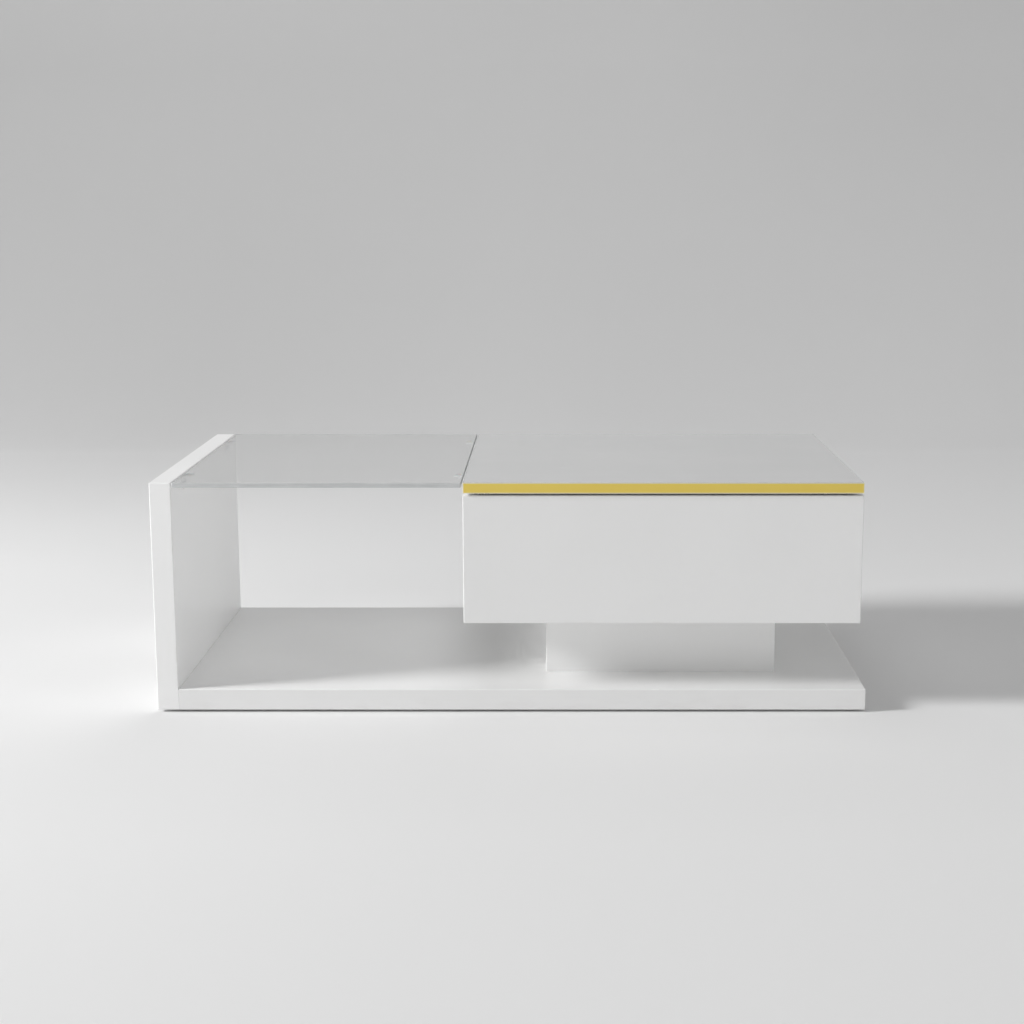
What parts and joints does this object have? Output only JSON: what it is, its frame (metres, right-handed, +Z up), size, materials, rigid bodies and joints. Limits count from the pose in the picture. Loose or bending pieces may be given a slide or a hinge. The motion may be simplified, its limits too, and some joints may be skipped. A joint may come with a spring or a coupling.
{
  "type": "lift top coffee table",
  "caption": "Low white table on an L-shaped stand: clear glass shelf beside a storage box whose grey glass lid with a brass front strip lifts up and forward on steel arms.",
  "frame": {"origin": "on the floor under the centre of the table's outline, under the glides", "axes": "+X along the length from the side panel to the box, +Y from front to back, +Z up"},
  "size_m": [1.2, 0.6, 0.394],
  "materials": {
    "white_lacquer": "white high-gloss lacquer on fibreboard",
    "white_melamine": "white melamine on fibreboard",
    "clear_glass": "clear, polished edges",
    "grey_glass": "back-painted light grey, polished",
    "brass": "brushed, clear lacquered",
    "black_steel": "black powder coat",
    "white_steel": "white powder coat",
    "zinc_steel": "zinc plated",
    "zinc_cast": "die-cast zinc",
    "spring_steel": "oiled spring wire",
    "beech": "raw beech",
    "nylon": "natural nylon",
    "glide_plastic": "grey plastic",
    "clear_rubber": "translucent silicone"
  },
  "bodies": {
    "stand": {"side_panel": "white_lacquer", "base_plate": "white_lacquer", "base_glides": "glide_plastic", "corner_dowels": "beech", "corner_cam_locks": "zinc_cast", "corner_cam_bolts": "zinc_steel", "pedestal_front": "white_lacquer", "pedestal_back": "white_lacquer", "pedestal_left": "white_lacquer", "pedestal_right": "white_lacquer", "pedestal_corner_blocks": "beech", "pedestal_insert_nuts": "zinc_steel", "pedestal_bolts": "zinc_steel", "box_floor_screws": "zinc_steel", "box_front": "white_lacquer", "box_back": "white_lacquer", "box_left": "white_lacquer", "box_right": "white_lacquer", "box_bottom": "white_melamine", "box_bottom_dowels": "beech", "glass_shelf": "clear_glass", "glass_wall_brackets": "white_steel", "glass_wall_bracket_screws": "zinc_steel", "glass_box_clips": "white_steel", "glass_box_clip_screws": "zinc_steel", "glass_pads": "clear_rubber", "lid_bumpers": "clear_rubber", "left_base_bracket": "black_steel", "right_base_bracket": "black_steel", "base_bracket_screws": "zinc_steel", "lower_pivot_rivets": "zinc_steel", "lower_pivot_bushes": "nylon", "arm_stops": "zinc_steel", "spring_anchor_pins": "zinc_steel", "left_spring": "spring_steel", "right_spring": "spring_steel"},
    "rear_arms": {"rear_arm_left": "black_steel", "rear_arm_right": "black_steel", "cross_tube": "black_steel", "arm_spring_pins": "zinc_steel"},
    "front_arms": {"front_arm_left": "black_steel", "front_arm_right": "black_steel"},
    "lid": {"lid_panel": "white_lacquer", "lid_glass": "grey_glass", "gold_trim": "brass", "left_lid_bracket": "black_steel", "right_lid_bracket": "black_steel", "lid_bracket_screws": "zinc_steel", "upper_pivot_rivets": "zinc_steel", "upper_pivot_washers": "nylon"}
  },
  "joints": [
    {"name": "lid_lift", "type": "hinge", "parent": "stand", "child": "rear_arms", "pos_m": [0.254, -0.13, 0.295], "axis": [1, 0, 0], "range_deg": [0, 115], "deforming": ["left_spring", "right_spring"]},
    {"name": "lid_level", "type": "hinge", "parent": "rear_arms", "child": "lid", "pos_m": [0.254, 0.09, 0.295], "axis": [1, 0, 0], "range_deg": [-115, 0]},
    {"name": "front_arm_swing", "type": "hinge", "parent": "stand", "child": "front_arms", "pos_m": [0.254, -0.19, 0.345], "axis": [1, 0, 0], "range_deg": [0, 115]}
  ],
  "couplings": [
    {"joint": "lid_level", "follows": "lid_lift", "ratio": -1},
    {"joint": "front_arm_swing", "follows": "lid_lift", "ratio": 1}
  ]
}
